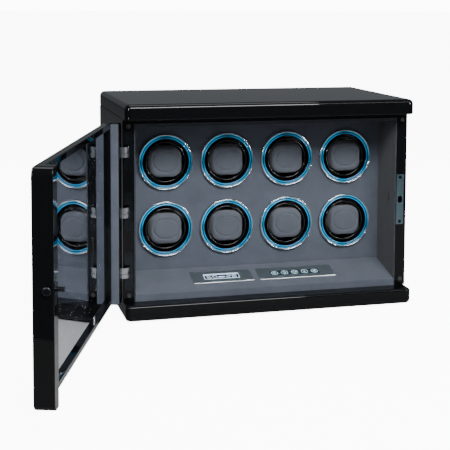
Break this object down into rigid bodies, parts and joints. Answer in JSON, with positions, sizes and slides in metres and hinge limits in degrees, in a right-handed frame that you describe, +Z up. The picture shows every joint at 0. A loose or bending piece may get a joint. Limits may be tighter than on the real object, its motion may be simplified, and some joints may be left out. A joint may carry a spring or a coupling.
{
  "type": "watch winder cabinet",
  "caption": "Lacquered countertop cabinet with a hinged glass door, rows of lit turning watch cups, and a sloping control shelf.",
  "frame": {"origin": "on the surface the feet stand on, below the middle of the cabinet", "axes": "+X to the right seen from the front, +Y to the back, +Z up"},
  "size_m": [0.7397, 0.8028, 0.388],
  "materials": {
    "lacquer": "black piano lacquer over fibreboard, polished",
    "suede": "grey microfibre suede",
    "raw_board": "dark fibreboard, sealed",
    "chrome": "polished chrome plate",
    "steel": "nickel-plated steel",
    "dark_metal": "black nickel plate",
    "glow": "lit acrylic diffuser",
    "board_green": "circuit board",
    "gloss_black": "moulded ABS, polished",
    "bronze": "sintered bronze",
    "motor": "zinc-plated can",
    "glass": "tinted, polished",
    "panel_glass": "printed glass front",
    "rubber": "matt"
  },
  "bodies": {
    "cabinet": {"back_cover": "raw_board", "back_cover_screws": "steel", "base_plinth": "lacquer", "bezel_rings": "chrome", "cabinet_hinge_cups": "dark_metal", "cabinet_screws": "steel", "ceiling_liner": "suede", "control_shelf": "suede", "dc_jack": "dark_metal", "display_panel": "panel_glass", "door_bumpers": "rubber", "feet": "rubber", "gear_motors": "motor", "header_rail": "lacquer", "lcd_module": "board_green", "led_boards": "board_green", "left_liner": "suede", "left_side_panel": "lacquer", "light_rings": "glow", "main_board": "board_green", "right_liner": "suede", "right_side_panel": "lacquer", "rotor_bushes": "bronze", "rotor_housings": "gloss_black", "shelf_lip": "suede", "station_panel": "suede", "strike_plate": "chrome", "top_slab": "lacquer", "touch_board": "board_green", "touch_panel": "panel_glass"},
    "door": {"door_top_rail": "lacquer", "door_bottom_rail": "lacquer", "door_hinge_stile": "lacquer", "door_lock_stile": "lacquer", "door_glass": "glass", "glass_beads": "lacquer", "door_hinge_cups": "dark_metal", "lock_plate": "dark_metal", "lock_case": "steel", "door_screws": "steel", "reveal_linings": "suede"},
    "hinge_arms": {"hinge_links": "steel"},
    "latch": {"latch_bolt": "dark_metal"},
    "button": {"release_button": "chrome"},
    "rotor_1": {"rotor_cup_1": "gloss_black"},
    "pad_1": {"cushion_1": "suede"},
    "rotor_2": {"rotor_cup_2": "gloss_black"},
    "pad_2": {"cushion_2": "suede"},
    "rotor_3": {"rotor_cup_3": "gloss_black"},
    "pad_3": {"cushion_3": "suede"},
    "rotor_4": {"rotor_cup_4": "gloss_black"},
    "pad_4": {"cushion_4": "suede"},
    "rotor_5": {"rotor_cup_5": "gloss_black"},
    "pad_5": {"cushion_5": "suede"},
    "rotor_6": {"rotor_cup_6": "gloss_black"},
    "pad_6": {"cushion_6": "suede"},
    "rotor_7": {"rotor_cup_7": "gloss_black"},
    "pad_7": {"cushion_7": "suede"},
    "rotor_8": {"rotor_cup_8": "gloss_black"},
    "pad_8": {"cushion_8": "suede"}
  },
  "joints": [
    {"name": "door_hinge", "type": "hinge", "parent": "cabinet", "child": "door", "pos_m": [-0.2709, -0.1284, 0.1955], "axis": [0, 0, 1], "range_deg": [-4.5, 108.5]},
    {"name": "hinge_arm_fold", "type": "hinge", "parent": "cabinet", "child": "hinge_arms", "pos_m": [-0.2709, -0.1284, 0.1955], "axis": [0, 0, 1], "range_deg": [-2.25, 54.25]},
    {"name": "button_press", "type": "slide", "parent": "door", "child": "button", "axis": [0.3173, 0.9483, 0], "range_m": [0, 0.003], "stiffness_N_per_m": 400},
    {"name": "bolt_slide", "type": "slide", "parent": "door", "child": "latch", "axis": [-0.9483, 0.3173, 0], "range_m": [0, 0.01]},
    {"name": "rotor_1_spin", "type": "hinge", "parent": "cabinet", "child": "rotor_1", "pos_m": [-0.17625, 0.01, 0.2695], "axis": [0, 1, 0], "continuous": true},
    {"name": "pad_1_pull", "type": "slide", "parent": "rotor_1", "child": "pad_1", "axis": [0, -1, 0], "range_m": [0, 0.06]},
    {"name": "rotor_2_spin", "type": "hinge", "parent": "cabinet", "child": "rotor_2", "pos_m": [-0.05875, 0.01, 0.2695], "axis": [0, 1, 0], "continuous": true},
    {"name": "pad_2_pull", "type": "slide", "parent": "rotor_2", "child": "pad_2", "axis": [0, -1, 0], "range_m": [0, 0.06]},
    {"name": "rotor_3_spin", "type": "hinge", "parent": "cabinet", "child": "rotor_3", "pos_m": [0.05875, 0.01, 0.2695], "axis": [0, 1, 0], "continuous": true},
    {"name": "pad_3_pull", "type": "slide", "parent": "rotor_3", "child": "pad_3", "axis": [0, -1, 0], "range_m": [0, 0.06]},
    {"name": "rotor_4_spin", "type": "hinge", "parent": "cabinet", "child": "rotor_4", "pos_m": [0.17625, 0.01, 0.2695], "axis": [0, 1, 0], "continuous": true},
    {"name": "pad_4_pull", "type": "slide", "parent": "rotor_4", "child": "pad_4", "axis": [0, -1, 0], "range_m": [0, 0.06]},
    {"name": "rotor_5_spin", "type": "hinge", "parent": "cabinet", "child": "rotor_5", "pos_m": [-0.17625, 0.01, 0.1445], "axis": [0, 1, 0], "continuous": true},
    {"name": "pad_5_pull", "type": "slide", "parent": "rotor_5", "child": "pad_5", "axis": [0, -1, 0], "range_m": [0, 0.06]},
    {"name": "rotor_6_spin", "type": "hinge", "parent": "cabinet", "child": "rotor_6", "pos_m": [-0.05875, 0.01, 0.1445], "axis": [0, 1, 0], "continuous": true},
    {"name": "pad_6_pull", "type": "slide", "parent": "rotor_6", "child": "pad_6", "axis": [0, -1, 0], "range_m": [0, 0.06]},
    {"name": "rotor_7_spin", "type": "hinge", "parent": "cabinet", "child": "rotor_7", "pos_m": [0.05875, 0.01, 0.1445], "axis": [0, 1, 0], "continuous": true},
    {"name": "pad_7_pull", "type": "slide", "parent": "rotor_7", "child": "pad_7", "axis": [0, -1, 0], "range_m": [0, 0.06]},
    {"name": "rotor_8_spin", "type": "hinge", "parent": "cabinet", "child": "rotor_8", "pos_m": [0.17625, 0.01, 0.1445], "axis": [0, 1, 0], "continuous": true},
    {"name": "pad_8_pull", "type": "slide", "parent": "rotor_8", "child": "pad_8", "axis": [0, -1, 0], "range_m": [0, 0.06]}
  ],
  "couplings": [
    {"joint": "hinge_arm_fold", "follows": "door_hinge", "ratio": 0.5},
    {"joint": "bolt_slide", "follows": "button_press", "ratio": 3.3333}
  ]
}
